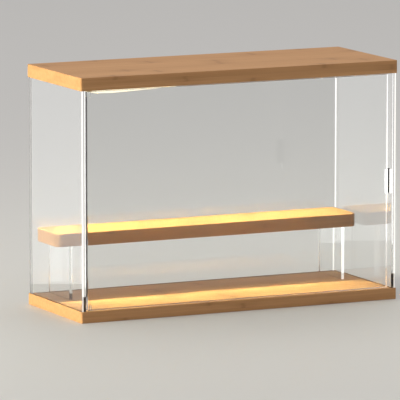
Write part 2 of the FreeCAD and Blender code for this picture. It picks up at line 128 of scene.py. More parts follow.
class Value:
    """A socket of a shader graph. Operators on it add Math nodes."""

    def __init__(self, graph: "Graph", socket: bpy.types.NodeSocket) -> None:
        """Hold the socket and the graph that it belongs to."""
        self.graph = graph
        self.socket = socket

    def math(self, operation: str, *operands: "Value | float") -> "Value":
        """Add a Math node on this value and the other operands."""
        return self.graph.math(operation, self, *operands)

    def __add__(self, number: "Value | float") -> "Value":
        """Add."""
        return self.math("ADD", number)

    __radd__ = __add__

    def __mul__(self, number: "Value | float") -> "Value":
        """Multiply."""
        return self.math("MULTIPLY", number)

    __rmul__ = __mul__

    def __sub__(self, number: "Value | float") -> "Value":
        """Subtract a number from this value."""
        return self.math("SUBTRACT", number)

    def __rsub__(self, number: float) -> "Value":
        """Subtract this value from a number."""
        return self.graph.math("SUBTRACT", number, self)

    def __truediv__(self, number: "Value | float") -> "Value":
        """Divide this value by a number."""
        return self.math("DIVIDE", number)

    def __rtruediv__(self, number: float) -> "Value":
        """Divide a number by this value."""
        return self.graph.math("DIVIDE", number, self)

    def __abs__(self) -> "Value":
        """Give the size of this value without its sign."""
        return self.math("ABSOLUTE")

    def floor(self) -> "Value":
        """Round down."""
        return self.math("FLOOR")

    def centred(self) -> "Value":
        """Give the place within each whole unit, from -0.5 to 0.5."""
        return self.math("FRACT") - MIDDLE_SHARE

    def step(self, low: float, high: float) -> "Value":
        """Rise smoothly from 0 at low to 1 at high.

        Args:
            low: Where the rise begins.
            high: Where it ends.

        Returns:
            The eased share.
        """
        settings = {"interpolation_type": "SMOOTHSTEP"}
        inputs = {"Value": self, "From Min": low, "From Max": high}
        return self.graph.node("ShaderNodeMapRange", settings, inputs)

    def bell(self, width: float) -> "Value":
        """Give a bump that is 1 where this value is 0 and fades out over a width."""
        return 1 - abs(self).step(0, width)


class Graph:
    """A node tree, with one way to add a node to it."""

    def __init__(self, tree: bpy.types.NodeTree) -> None:
        """Empty the tree and hold it."""
        tree.nodes.clear()
        self.tree = tree

    def node(
        self,
        kind: str,
        settings: dict[str, Any] | None = None,
        inputs: dict[str | int, Any] | None = None,
        output: str | int = 0,
    ) -> Value:
        """Add a node.

        Args:
            kind: The node's type.
            settings: Its properties, set first.
            inputs: The values or links of its sockets, by name or number.
            output: The output to give, by name or number.

        Returns:
            The chosen output.
        """
        made = self.tree.nodes.new(kind)
        for name, setting in (settings or {}).items():
            setattr(made, name, setting)
        for name, given in (inputs or {}).items():
            if isinstance(given, Value):
                self.tree.links.new(given.socket, made.inputs[name])
            else:
                made.inputs[name].default_value = given
        return Value(self, made.outputs[output] if len(made.outputs) else None)

    def math(self, operation: str, *operands: Value | float) -> Value:
        """Add a Math node on these operands."""
        return self.node("ShaderNodeMath", {"operation": operation}, dict(enumerate(operands)))

    def place(self, shift: Point = (0, 0, 0), scale: Point = (1, 1, 1)) -> Value:
        """Give the object's own coordinates, moved and scaled.

        Args:
            shift: What is added to each coordinate after the scale.
            scale: What each coordinate is multiplied by.

        Returns:
            The coordinates as a vector.
        """
        here = self.node("ShaderNodeTexCoord", output="Object")
        inputs = {"Vector": here, "Location": shift, "Scale": scale}
        return self.node("ShaderNodeMapping", inputs=inputs)

    def split(self, vector: Value) -> tuple[Value, Value, Value]:
        """Give the three numbers of a vector."""
        made = self.node("ShaderNodeSeparateXYZ", inputs={"Vector": vector}).socket.node
        return tuple(Value(self, number) for number in made.outputs)

    def join(self, x: Value | float, y: Value | float, z: Value | float) -> Value:
        """Make a vector of three numbers."""
        return self.node("ShaderNodeCombineXYZ", inputs={"X": x, "Y": y, "Z": z})

    def noise(self, vector: Value, scale: float, detail: float) -> Value:
        """Give noise from 0 to 1, read at a vector, by its waves in a unit and its finer layers."""
        inputs = {"Vector": vector, "Scale": scale, "Detail": detail}
        return self.node("ShaderNodeTexNoise", inputs=inputs)

    def mix(self, share: Value | float, low: Any, high: Any) -> Value:
        """Mix two colours.

        Args:
            share: How much of the second there is.
            low: The first colour, or a link.
            high: The second colour, or a link.

        Returns:
            The mixed colour.
        """
        low, high = (c if isinstance(c, Value) else opaque(c) for c in (low, high))
        inputs = {MIX_SHARE: share, MIX_LOW: low, MIX_HIGH: high}
        return self.node("ShaderNodeMix", {"data_type": "RGBA"}, inputs, MIX_RESULT)

    def relief(self, height: Value, strength: float, depth: float) -> Value:
        """Turn a height into a bumped normal, by how much of it shows and the depth of a height of 1."""
        inputs = {"Strength": strength, "Distance": depth, "Height": height}
        return self.node("ShaderNodeBump", inputs=inputs)

    def shader(self, **sockets: Any) -> Value:
        """Add a Principled shader.

        Args:
            sockets: Its sockets, with underscores for spaces.

        Returns:
            The shader.
        """
        inputs = {name.replace("_", " "): given for name, given in sockets.items()}
        for name, given in inputs.items():
            if name.endswith("Color") and not isinstance(given, Value):
                inputs[name] = opaque(given)
        return self.node("ShaderNodeBsdfPrincipled", inputs=inputs)


# Finishes


@dataclass(frozen=True)
class Finish:
    """A named finish, which paints one material."""

    name: str

    def sockets(self, graph: Graph) -> Sockets:
        """Add the nodes of the finish and give the sockets of its shader."""
        raise NotImplementedError

    def paint(self, graph: Graph) -> Value:
        """Give the finish's shader."""
        return graph.shader(**self.sockets(graph))

    def material(self) -> bpy.types.Material:
        """Make the material.

        Returns:
            The new material, painted.
        """
        made = bpy.data.materials.new(self.name)
        made.use_nodes = True
        graph = Graph(made.node_tree)
        graph.node("ShaderNodeOutputMaterial", inputs={"Surface": self.paint(graph)})
        return made


@dataclass(frozen=True)
class Sunk:
    """The space that the grooves of a board reach, between two corners, where the board takes painted
    shade.
    """

    low: Point
    high: Point


@dataclass(frozen=True)
class Bamboo(Finish):
    """Laminated bamboo: strips along X in layers, with fibres, knuckles, a satin lacquer and painted
    shade in its grooves.
    """

    shift: Point = (0, 0, 0)
    sunk: Sunk | None = None
    pale: Colour = (0.60, 0.322, 0.146)
    deep: Colour = (0.44, 0.218, 0.085)
    knuckle: Colour = (0.25, 0.112, 0.041)
    # Painted shade: near black on the walls of the grooves, where the panels stand in them
    groove_shade: Colour = (0.05, 0.026, 0.011)
    groove_shade_fade: float = 0.05 * MILLI
    strip_wide: float = 16.4 * MILLI
    layer_thick: float = 5 * MILLI
    strip_seed: float = 0.5
    strip_shade: float = 0.30
    seam_wide: float = 0.25 * MILLI
    seam_shade: float = 0.35
    seam_deep: float = 0.8
    knuckle_pitch: float = 0.21
    knuckle_seed: float = 7.0
    knuckle_wander: float = 0.03
    knuckle_wide: float = 4 * MILLI
    knuckle_shade: float = 0.32
    knuckle_high: float = 0.3
    halo_wide: float = 24 * MILLI
    halo_shade: float = 0.18
    fibre_wide: float = 0.35 * MILLI
    fibre_long: float = 60 * MILLI
    fibre_band: Band = (0.35, 0.75)
    fibre_shade: float = 0.34
    fibre_high: float = 0.6
    fibre_rough: float = 0.16
    fibre_coat: float = 0.05
    streak_wide: float = 3.2 * MILLI
    streak_long: float = 170 * MILLI
    streak_band: Band = (0.3, 0.7)
    streak_shade: float = 0.34
    streak_rough: float = 0.08
    rough: float = 0.50
    gloss: float = 0.3
    coat: float = 0.03
    coat_rough: float = 0.3
    relief_share: float = 0.25
    relief_deep: float = 0.12 * MILLI

    def stretched(self, graph: Graph, wide: float, long: float, detail: float) -> Value:
        """Give noise that is drawn out, by the size of its waves across the grain and along it."""
        place = graph.place(self.shift, (1 / long, 1 / wide, 1 / wide))
        return graph.noise(place, 1.0, detail)

    def groove_shade_share(self, graph: Graph, sunk: Sunk) -> Value:
        """Give 1 on the walls of the grooves, which are painted dark as shade, and 0 on the lacquered
        faces.

        Args:
            graph: The material's graph.
            sunk: The space that the grooves reach.

        Returns:
            The share.
        """
        shares = []
        for place, low, high in zip(graph.split(graph.place()), sunk.low, sunk.high):
            half = (high - low) / 2
            away = abs(place - (low + high) / 2)
            shares.append(1 - away.step(half - self.groove_shade_fade, half))
        return reduce(operator.mul, shares)

    def sockets(self, graph: Graph) -> Sockets:
        """Paint the strips, their fibres and knuckles, and the lacquer.

        Args:
            graph: The material's graph.

        Returns:
            The sockets of its shader.
        """
        x, y, z = graph.split(graph.place(self.shift))
        across = y / self.strip_wide
        through = z / self.layer_thick
        cell = graph.join(across.floor(), through.floor(), self.strip_seed)
        strip = graph.node("ShaderNodeTexWhiteNoise", inputs={"Vector": cell}, output="Value")
        start = graph.node(
            "ShaderNodeTexWhiteNoise",
            {"noise_dimensions": "4D"},
            {"Vector": cell, "W": self.knuckle_seed},
            "Value",
        )
        fibre = self.stretched(graph, self.fibre_wide, self.fibre_long, FINE)
        streak = self.stretched(graph, self.streak_wide, self.streak_long, MEDIUM)
        seam = abs(across.centred()).step(MIDDLE_SHARE - self.seam_wide / self.strip_wide, MIDDLE_SHARE)
        along = x / self.knuckle_pitch + start + (streak - MIDDLE_SHARE) * self.knuckle_wander
        band = along.centred().bell(self.knuckle_wide / self.knuckle_pitch)
        halo = along.centred().bell(self.halo_wide / self.knuckle_pitch)

        shade = fibre.step(*self.fibre_band) * self.fibre_shade
        shade = shade + streak.step(*self.streak_band) * self.streak_shade + strip * self.strip_shade
        colour = graph.mix(shade, self.pale, self.deep)
        colour = graph.mix(halo * self.halo_shade, colour, self.knuckle)
        colour = graph.mix(band * self.knuckle_shade, colour, self.knuckle)
        colour = graph.mix(seam * self.seam_shade, colour, self.knuckle)
        # Painted shade on the groove walls, seen through the sheets as a dark line at their feet
        if self.sunk:
            colour = graph.mix(self.groove_shade_share(graph, self.sunk), colour, self.groove_shade)
        height = fibre * self.fibre_high + band * self.knuckle_high - seam * self.seam_deep
        return dict(
            Base_Color=colour,
            Roughness=self.rough + fibre * self.fibre_rough + streak * self.streak_rough,
            Specular_IOR_Level=self.gloss,
            Coat_Weight=self.coat + (1 - fibre) * self.fibre_coat,
            Coat_Roughness=self.coat_rough,
            Normal=graph.relief(height, self.relief_share, self.relief_deep),
        )


@dataclass(frozen=True)
class CutEdge:
    """A cut edge of a sheet, square to one axis, with a painted glow where it lies beyond a distance
    from X = 0.
    """

    axis: Axis
    place: float
    beyond: float = 0.0
    bright: float = 1.0


@dataclass(frozen=True)
class ClearAcrylic(Finish):
    """Clear sheet, a little wavy, with faint wipe marks and a painted glow on its cut edges for the
    light that they gather.
    """

    edges: tuple[CutEdge, ...] = ()
    # Painted glow on the cut edges: its colour, strength and width
    edge_glow: Colour = (1.0, 0.96, 0.90)
    edge_power: float = 0.75
    edge_deep: float = 0.4 * MILLI
    tint: Colour = (0.985, 0.992, 0.99)
    ior: float = 1.49
    wave_long: float = 70 * MILLI
    wave_share: float = 0.02
    wave_deep: float = 1 * MILLI
    wipe_long: float = 26 * MILLI
    wipe_wide: float = 1.4 * MILLI
    wipe_band: Band = (0.5, 0.8)
    wipe_rough: float = 0.035

    def painted_edge_glow(self, graph: Graph) -> Sockets:
        """Paint a glow on the bright parts of the cut edges, for the light that the sheet carries to
        them.

        Args:
            graph: The material's graph.

        Returns:
            The sockets of the painted glow, or none without edges.
        """
        if not self.edges:
            return {}
        places = graph.split(graph.place())
        shares = []
        for edge in self.edges:
            near = (places[edge.axis] - edge.place).bell(self.edge_deep)
            out = abs(places[Axis.X]).step(edge.beyond - self.edge_deep, edge.beyond + self.edge_deep)
            shares.append(near * out * edge.bright)
        share = reduce(lambda most, other: most.math("MAXIMUM", other), shares)
        glow = graph.mix(share, BLACK, self.edge_glow)
        return {"Emission_Color": glow, "Emission_Strength": self.edge_power}

    def paint(self, graph: Graph) -> Value:
        """Paint the sheet as glass, and as a clear film for rays from lamps.

        Args:
            graph: The material's graph.

        Returns:
            The shader.
        """
        wave = graph.noise(graph.place(), 1 / self.wave_long, SOFT)
        scale = (1 / self.wipe_long, 1 / self.wipe_long, 1 / self.wipe_wide)
        wipe = graph.noise(graph.place(scale=scale), 1.0, MEDIUM)
        glass = graph.shader(
            Base_Color=self.tint,
            Roughness=wipe.step(*self.wipe_band) * self.wipe_rough,
            IOR=self.ior,
            Transmission_Weight=1.0,
            Normal=graph.relief(wave, self.wave_share, self.wave_deep),
            **self.painted_edge_glow(graph),
        )
        film = graph.node("ShaderNodeBsdfTransparent", inputs={"Color": opaque(self.tint)})
        lamp_ray = graph.node("ShaderNodeLightPath", output="Is Shadow Ray")
        return graph.node("ShaderNodeMixShader", inputs={0: lamp_ray, 1: glass, 2: film})


@dataclass(frozen=True)
class LitOpal(Finish):
    """Opal plastic that glows, brightest by the lamps at its left end."""

    base: Colour = (0.93, 0.92, 0.88)
    cloud: Colour = (0.85, 0.83, 0.78)
    glow_near: Colour = (1.0, 0.93, 0.66)
    glow_far: Colour = (1.0, 0.88, 0.58)
    dim: Colour = (0.85, 0.75, 0.55)
    power: float = 1.15
    bright_end: float = 0.0
    reach: float = 1.0
    rough: float = 0.32
    grain_wide: float = 0.6 * MILLI
    grain_rough: float = 0.1
    cloud_share: float = 0.1
    dim_share: float = 0.12

    def sockets(self, graph: Graph) -> Sockets:
        """Paint a glow that fades along the strip, in a fine grain.

        Args:
            graph: The material's graph.

        Returns:
            The sockets of its shader.
        """
        x, _, _ = graph.split(graph.place())
        away = ((x - self.bright_end) / self.reach).step(0, 1)
        grain = graph.noise(graph.place(), 1 / self.grain_wide, MEDIUM)
        glow = graph.mix(away, self.glow_near, self.glow_far)
        return dict(
            Base_Color=graph.mix(grain * self.cloud_share, self.base, self.cloud),
            Roughness=self.rough + grain * self.grain_rough,
            Emission_Color=graph.mix(grain * self.dim_share, glow, self.dim),
            Emission_Strength=self.power,
        )


@dataclass(frozen=True)
class Moulded(Finish):
    """Moulded plastic with a fine spark-eroded texture and a soft cloud in its colour."""

    base: Colour = (0.82, 0.81, 0.78)
    cloud: Colour = (0.72, 0.71, 0.68)
    rough: float = 0.46
    grain_wide: float = 0.18 * MILLI
    grain_rough: float = 0.16
    cloud_wide: float = 9 * MILLI
    cloud_band: Band = (0.3, 0.7)
    cloud_share: float = 0.6
    relief_share: float = 0.25
    relief_deep: float = 0.03 * MILLI

    def sockets(self, graph: Graph) -> Sockets:
        """Paint the cloud and the texture.

        Args:
            graph: The material's graph.

        Returns:
            The sockets of its shader.
        """
        grain = graph.noise(graph.place(), 1 / self.grain_wide, MEDIUM)
        cloud = graph.noise(graph.place(), 1 / self.cloud_wide, MEDIUM)
        share = cloud.step(*self.cloud_band) * self.cloud_share
        return dict(
            Base_Color=graph.mix(share, self.base, self.cloud),
            Roughness=self.rough + grain * self.grain_rough,
            Normal=graph.relief(grain, self.relief_share, self.relief_deep),
        )


@dataclass(frozen=True)
class LitCap(Moulded):
    """Thin white moulding that glows where it hangs below the top and the lamps shine through."""

    glow: Colour = (1.0, 0.93, 0.66)
    power: float = 1.05
    ceiling: float = 0.0
    fade: float = 0.3 * MILLI

    def sockets(self, graph: Graph) -> Sockets:
        """Paint the moulding, with a glow below the ceiling.

        Args:
            graph: The material's graph.

        Returns:
            The sockets of its shader.
        """
        _, _, z = graph.split(graph.place())
        below = 1 - z.step(self.ceiling - self.fade, self.ceiling)
        glow = graph.mix(below, BLACK, self.glow)
        return {**super().sockets(graph), "Emission_Color": glow, "Emission_Strength": self.power}


@dataclass(frozen=True)
class Metal(Finish):
    """Bare or plated metal with fine lines along one axis."""

    base: Colour = (0.60, 0.61, 0.63)
    dull: Colour = (0.42, 0.42, 0.43)
    rough: float = 0.22
    line_rough: float = 0.14
    line_deep: float = 0.02 * MILLI
    line_wide: float = 0.12 * MILLI
    line_long: float = 5 * MILLI
    line_share: float = 0.12
    haze_band: Band = (0.35, 0.75)
    haze_share: float = 0.5
    haze_rough: float = 0.4
    along: Axis = Axis.Z

    def sockets(self, graph: Graph) -> Sockets:
        """Paint the lines and a thin haze.

        Args:
            graph: The material's graph.

        Returns:
            The sockets of its shader.
        """
        scale = [1 / self.line_wide] * 3
        scale[self.along] = 1 / self.line_long
        line = graph.noise(graph.place(scale=tuple(scale)), 1.0, FINE)
        haze = graph.noise(graph.place(), 1 / self.line_long, MEDIUM)
        share = haze.step(*self.haze_band) * self.haze_share
        return dict(
            Base_Color=graph.mix(share, self.base, self.dull),
            Metallic=1.0,
            Roughness=self.rough + (line + haze * self.haze_rough) * self.line_rough,
            Normal=graph.relief(line, self.line_share, self.line_deep),
        )


@dataclass(frozen=True)
class Nickel(Metal):
    """Nickel plate, polished almost to a mirror on the face and left dull on the sides, which are
    darkened as painted shade in the gap between the strips.
    """

    base: Colour = (0.97, 0.96, 0.94)
    dull: Colour = (0.90, 0.89, 0.87)
    # Painted shade on the sides, in the gap between the strips
    side: Colour = (0.20, 0.21, 0.21)
    rough: float = 0.05
    side_rough: float = 0.45
    line_rough: float = 0.04
    line_deep: float = 0.003 * MILLI
    face: float = 0.0
    polish_deep: float = 0.15 * MILLI

    def sockets(self, graph: Graph) -> Sockets:
        """Paint the polished face and the dull sides behind it, darkened as painted shade.

        Args:
            graph: The material's graph.

        Returns:
            The sockets of its shader.
        """
        polished = super().sockets(graph)
        _, y, _ = graph.split(graph.place())
        behind = (y - self.face).step(0, self.polish_deep)
        # Painted shade: the sides behind the face are darkened
        colour = graph.mix(behind, polished["Base_Color"], self.side)
        rough = polished["Roughness"] + behind * self.side_rough
        return {**polished, "Base_Color": colour, "Roughness": rough}


@dataclass(frozen=True)
class SolderMask(Finish):
    """White solder mask over copper runs, which show as faint ridges."""

    mask: Colour = (0.80, 0.82, 0.78)
    run: Colour = (0.66, 0.69, 0.62)
    pitch: float = 1.3 * MILLI
    run_wide_share: float = 0.28
    run_share: float = 0.7
    rough: float = 0.30
    weave_rough: float = 0.12
    weave_high: float = 0.15
    relief_share: float = 0.3
    relief_deep: float = 0.04 * MILLI

    def sockets(self, graph: Graph) -> Sockets:
        """Paint the ridges over the runs.

        Args:
            graph: The material's graph.

        Returns:
            The sockets of its shader.
        """
        _, y, _ = graph.split(graph.place())
        ridge = (y / self.pitch).centred().bell(self.run_wide_share)
        weave = graph.noise(graph.place(), 1 / self.pitch, MEDIUM)
        height = ridge + weave * self.weave_high
        return dict(
            Base_Color=graph.mix(ridge * self.run_share, self.mask, self.run),
            Roughness=self.rough + weave * self.weave_rough,
            Normal=graph.relief(height, self.relief_share, self.relief_deep),
        )


@dataclass(frozen=True)
class Phosphor(Finish):
    """The yellow face of a lit lamp chip in its white frame."""

    pale: Colour = (0.86, 0.84, 0.78)
    yellow: Colour = (1.0, 0.82, 0.40)
    glow: Colour = (1.0, 0.84, 0.42)
    dim: Colour = (0.9, 0.6, 0.2)
    dim_share: float = 0.5
    power: float = 4.0
    rough: float = 0.4
    grain_wide: float = 0.15 * MILLI
    grain_rough: float = 0.2

    def sockets(self, graph: Graph) -> Sockets:
        """Paint the grain of the phosphor.

        Args:
            graph: The material's graph.

        Returns:
            The sockets of its shader.
        """
        grain = graph.noise(graph.place(), 1 / self.grain_wide, FINE)
        return dict(
            Base_Color=graph.mix(grain, self.pale, self.yellow),
            Roughness=self.rough + grain * self.grain_rough,
            Emission_Color=graph.mix(grain * self.dim_share, self.glow, self.dim),
            Emission_Strength=self.power,
        )


@dataclass(frozen=True)
class PaleFloor(Finish):
    """A plain pale studio floor with a soft sheen."""

    base: Colour = (0.67, 0.665, 0.655)
    cloud: Colour = (0.63, 0.625, 0.615)
    cloud_wide: float = 0.9
    cloud_share: float = 0.12
    cloud_rough: float = 0.04
    rough: float = 0.50

    def sockets(self, graph: Graph) -> Sockets:
        """Paint a very faint cloud.

        Args:
            graph: The material's graph.

        Returns:
            The sockets of its shader.
        """
        cloud = graph.noise(graph.place(), 1 / self.cloud_wide, SOFT)
        return dict(
            Base_Color=graph.mix(cloud * self.cloud_share, self.base, self.cloud),
            Roughness=self.rough + cloud * self.cloud_rough,
        )


# Surfaces


def quads_between_rings(rings: int, around: int) -> np.ndarray:
    """List the quads of a tube whose points lie ring by ring.

    Point (i, j) of the grid is number i * around + j, and each quad joins a point to
    the next one round its ring and to the same two on the next ring.

    Args:
        rings: How many rings there are.
        around: How many points each ring has.

    Returns:
        One row of four point numbers for each quad.
    """
    i, j = np.meshgrid(np.arange(rings - 1), np.arange(around), indexing="ij")
    after = (j + 1) % around
    corners = (i * around + j, i * around + after, (i + 1) * around + after, (i + 1) * around + j)
    return np.stack([c.ravel() for c in corners], axis=1)


def closed_tube(name: str, tubes: list[np.ndarray]) -> bpy.types.Object:
    """Make one mesh of tubes that are closed at both ends.

    Each tube is a grid of points, ring by ring. A fan to the mean of the first ring and
    another to the mean of the last ring close it.

    Args:
        name: The piece's name.
        tubes: Arrays of rings by points by three coordinates.

    Returns:
        The new object, at the origin.
    """
    points: list[np.ndarray] = []
    faces: list[list[int]] = []
    base = 0
    for grid in tubes:
        rings, around, _ = grid.shape
        low, high = base + rings * around, base + rings * around + 1
        points += [grid.reshape(-1, 3), grid[0].mean(0)[None], grid[-1].mean(0)[None]]
        first = base + np.arange(around)
        last = first + (rings - 1) * around
        shut_low = np.stack([np.full(around, low), np.roll(first, -1), first], axis=1)
        shut_high = np.stack([np.full(around, high), last, np.roll(last, -1)], axis=1)
        faces += (quads_between_rings(rings, around) + base).tolist()
        faces += shut_low.tolist() + shut_high.tolist()
        base = high + 1
    mesh = bpy.data.meshes.new(name)
    mesh.from_pydata(np.concatenate(points).tolist(), [], faces)
    mesh.polygons.foreach_set("use_smooth", np.ones(len(faces), bool))
    mesh.update()
    piece = bpy.data.objects.new(name, mesh)
    bpy.context.scene.collection.objects.link(piece)
    return piece


def rounded_block(centre: Point, half: Point, power: float, rings: int, around: int) -> np.ndarray:
    """Work out a block with soft edges, as a superellipsoid.

    Each coordinate is its half size times the sphere's coordinate raised, by size, to the
    power, with the sign kept. A power near 0 is a box and 1 is an ellipsoid.

    Args:
        centre: The block's centre.
        half: Its half sizes.
        power: How round it is.
        rings: Rings from pole to pole.
        around: Points in each ring.

    Returns:
        The grid of points.
    """
    up = np.linspace(-TURN / 4, TURN / 4, rings + 2)[1:-1, None]
    turn = (np.arange(around)[None] + MIDDLE_SHARE) / around * TURN
    sphere = np.stack(
        np.broadcast_arrays(np.cos(up) * np.cos(turn), np.cos(up) * np.sin(turn), np.sin(up)),
        axis=-1,
    )
    return np.array(centre) + np.array(half) * np.sign(sphere) * np.abs(sphere) ** power


# Sub-assemblies


def dress(node: str, finish: Finish) -> None:
    """Give a solid its finish.

    Args:
        node: The solid's name.
        finish: The finish.
    """
    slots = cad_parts[node].data.materials
    slots.clear()
    slots.append(finish.material())
    log.info("%s: %s", node, finish.name)


def add_piece(piece: bpy.types.Object, body: Body, finish: Finish) -> None:
    """Let a new piece ride on a body, and give it its slot and finish.

    Args:
        piece: The new piece.
        body: The body that it rides on.
        finish: The finish.
    """
    piece.data.materials.append(finish.material())
    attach(piece, body.value)
    log.info("%s: %s, %d points", piece.name, finish.name, len(piece.data.vertices))


@dataclass
class Boards:
    """The bamboo base and top."""

    base_shift: Point = (0.03, 0.0, 2.5 * MILLI)
    top_shift: Point = (0.11, 0.0, 0.5 * MILLI)
    rim: float = 0.7 * MILLI
    lip: float = 0.1 * MILLI

    def grooves(self, board: str, low: float, high: float) -> Sunk:
        """Give the space that a board's grooves reach, where the board takes painted shade.

        Args:
            board: The board's node.
            low: The height where the space begins.
            high: The height where it ends.

        Returns:
            The space, which stays clear of the board's rim.
        """
        corner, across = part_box(board)
        return Sunk(
            (corner.x + self.rim, corner.y + self.rim, low),
            (across.x - self.rim, across.y - self.rim, high),
        )

    def build(self) -> None:
        """Dress the two boards, each cut from its own stretch of bamboo, with painted shade in their
        grooves.
        """
        foot, head = (corner.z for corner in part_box("left_side_panel"))
        floor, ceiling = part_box("base_board")[1].z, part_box("top_board")[0].z
        base = self.grooves("base_board", foot - self.lip, floor - self.lip)
        top = self.grooves("top_board", ceiling + self.lip, head + self.lip)
        dress("base_board", Bamboo("bamboo_base", self.base_shift, base))
        dress("top_board", Bamboo("bamboo_top", self.top_shift, top))


@dataclass
class Panels:
    """The fixed panels and the magnet strip on the right one."""

    # How much of each side panel's front edge takes the painted glow, and its strength at the back
    # panel's left end
    lit_share: float = 0.36
    rear_left_bright: float = 0.45

    def build(self) -> None:
        """Dress the panels, with a painted glow on their cut edges, and the strip."""
        for side in Side:
            low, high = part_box(f"{side}_side_panel")
            # Painted glow on the outer part of each side panel's front edge and on both ends of the back
            # panel
            beyond = max(abs(low.x), abs(high.x)) - (high.x - low.x) * self.lit_share
            front = CutEdge(Axis.Y, low.y, beyond)
            dress(f"{side}_side_panel", ClearAcrylic(f"acrylic_{side}_side_panel", (front,)))
        low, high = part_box("back_panel")
        ends = (CutEdge(Axis.X, low.x, bright=self.rear_left_bright), CutEdge(Axis.X, high.x))
        dress("back_panel", ClearAcrylic("acrylic_back_panel", ends))
        dress("side_magnet", Nickel("nickel_side", face=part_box("side_magnet")[0].y))


@dataclass
class Door:
    """The front door with its pivots and its magnet strip."""

    # Strength of the painted glow on the door's free edge
    edge_power: float = 0.35
    brass: Colour = (0.72, 0.52, 0.22)
    brass_dull: Colour = (0.5, 0.34, 0.13)

    def build(self) -> None:
        """Dress the door and what it turns in."""
        _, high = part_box("front_door")
        # Painted glow on the door's free edge
        edges = (CutEdge(Axis.X, high.x),)
        dress("front_door", ClearAcrylic("acrylic_front_door", edges, edge_power=self.edge_power))
        dress("door_magnet", Nickel("nickel_door", face=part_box("door_magnet")[0].y))
        for end in End:
            dress(f"door_pin_{end}", ClearAcrylic(f"acrylic_pin_{end}"))
            dress(f"bush_{end}", Metal(f"brass_bush_{end}", self.brass, self.brass_dull))


@dataclass
class Riser:
    """The loose riser: a bamboo shelf on two clear legs."""

    shift: Point = (-0.05, 3 * MILLI, 1 * MILLI)
    pale: Colour = (0.47, 0.246, 0.100)
    deep: Colour = (0.345, 0.167, 0.059)
    # The leg whose front edge takes the painted glow
    lit_side: Side = Side.RIGHT

    def build(self) -> None:
        """Dress the shelf and its legs."""
        dress("riser_shelf", Bamboo("bamboo_shelf", self.shift, pale=self.pale, deep=self.deep))
        for side in Side:
            # Painted glow on the front edge of one leg
            front = CutEdge(Axis.Y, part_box(f"riser_leg_{side}")[0].y)
            edges = (front,) if side is self.lit_side else ()
            dress(f"riser_leg_{side}", ClearAcrylic(f"acrylic_leg_{side}", edges))


@dataclass
class Lamp:
    """The wedge lamp in the underside of the top, with its screws."""

    head_high: float = 1.4 * MILLI
    head_round: float = 0.25 * MILLI
    shank: float = 1.0 * MILLI
    thread_deep: float = 0.22 * MILLI
    thread_pitch: float = 0.8 * MILLI
    point_long: float = 1.2 * MILLI
    cross_wide: float = 0.28 * MILLI
    cross_long: float = 1.15 * MILLI
    cross_deep: float = 0.7 * MILLI
    cross_flare: float = 1.3
    cross_soft: float = 0.6
    face_start: float = 0.06
    point_start: float = 0.04
    around: int = 64
    face_rings: int = 16
    rim_rings: int = 4
    rings_in_turn: int = 12

    def head_rings(self, turn: np.ndarray, low: float, radius: float) -> np.ndarray:
        """Work out the head of a screw, from the middle of its face to its seat.

        Rings of growing radius make the face. A point sinks by the depth of the cross
        where it is nearer than the cross's width to either of two crossed lines and
        within the cross's reach, with a sloping edge. The rim is a quarter round.

        Args:
            turn: The angles round the axis.
            low: The height of the face.
            radius: The head's radius.

        Returns:
            The grid of points about the axis.
        """
        flat = np.linspace(self.face_start, 1, self.face_rings)[:, None] * (radius - self.head_round)
        x, y = flat * np.cos(turn), flat * np.sin(turn)
        near = np.minimum(np.abs(x), np.abs(y))
        soft = self.cross_wide * self.cross_soft
        inside = np.clip((self.cross_wide * self.cross_flare - near) / soft, 0, 1)
        reach = np.clip((self.cross_long - np.hypot(x, y)) / soft, 0, 1)
        face = np.stack([x, y, low + self.cross_deep * inside * reach], axis=-1)
        quarter = np.linspace(0, TURN / 4, self.rim_rings + 1)[1:, None]
        out = radius - self.head_round * (1 - np.sin(quarter))
        up = low + self.head_round * (1 - np.cos(quarter)) + 0 * turn
        rim = np.stack([out * np.cos(turn), out * np.sin(turn), up], axis=-1)
        return np.concatenate([face, rim])

    def shank_rings(self, turn: np.ndarray, seat: float, tip: float) -> np.ndarray:
        """Work out the threaded shank of a screw, from its seat to its point.

        The radius is the crest's less the thread's depth, by how far a point lies from the
        crest of a ridge that climbs one pitch in each turn. Over the last stretch the
        whole radius shrinks evenly to the point.

        Args:
            turn: The angles round the axis.
            seat: The height of the seat.
            tip: The height of the point.

        Returns:
            The grid of points about the axis.
        """
        steps = round((tip - seat) / self.thread_pitch * self.rings_in_turn)
        up = np.linspace(seat, tip, steps + 1)[:, None]
        phase = (up / self.thread_pitch - turn / TURN) % 1
        ridge = np.abs(phase - MIDDLE_SHARE) * 2
        taper = np.clip((tip - up) / self.point_long, self.point_start, 1)
        out = (self.shank - self.thread_deep * ridge) * taper
        return np.stack([out * np.cos(turn), out * np.sin(turn), up + 0 * turn], axis=-1)

    def screw(self, name: str, x: float, y: float, low: float, high: float, radius: float) -> None:
        """Build one screw, head down.

        Args:
            name: The piece's name.
            x: Its place along the length.
            y: Its place along the depth.
            low: The height of its face.
            high: The height of its point.
            radius: Its head's radius.
        """
        turn = np.arange(self.around)[None] / self.around * TURN
        seat = low + self.head_high
        head = self.head_rings(turn, low, radius)
        side = np.stack([radius * np.cos(turn), radius * np.sin(turn), seat + 0 * turn], axis=-1)
        grid = np.concatenate([head, side, self.shank_rings(turn, seat, high)])
        piece = closed_tube(name, [grid + np.array([x, y, 0])])
        add_piece(piece, Body.CASE, Metal(f"steel_{name}"))
        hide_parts("lamp_screws")

    def build(self) -> None:
        """Dress the lamp and build its screws."""
        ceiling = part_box("top_board")[0].z
        dress("lamp_housing", LitCap("white_moulding", ceiling=ceiling))
        low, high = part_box("light_guide")
        dress("light_guide", LitOpal("lit_opal", bright_end=low.x, reach=high.x - low.x))
        dress("lamp_board", SolderMask("solder_mask"))
        dress("lamp_leds", Phosphor("lamp_phosphor"))
        low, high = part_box("lamp_screws")
        radius = (high.y - low.y) / 2
        middle = (low.y + high.y) / 2
        for name, x in (("screw_left", low.x + radius), ("screw_right", high.x - radius)):
            self.screw(name, x, middle, low.z, high.z, radius)


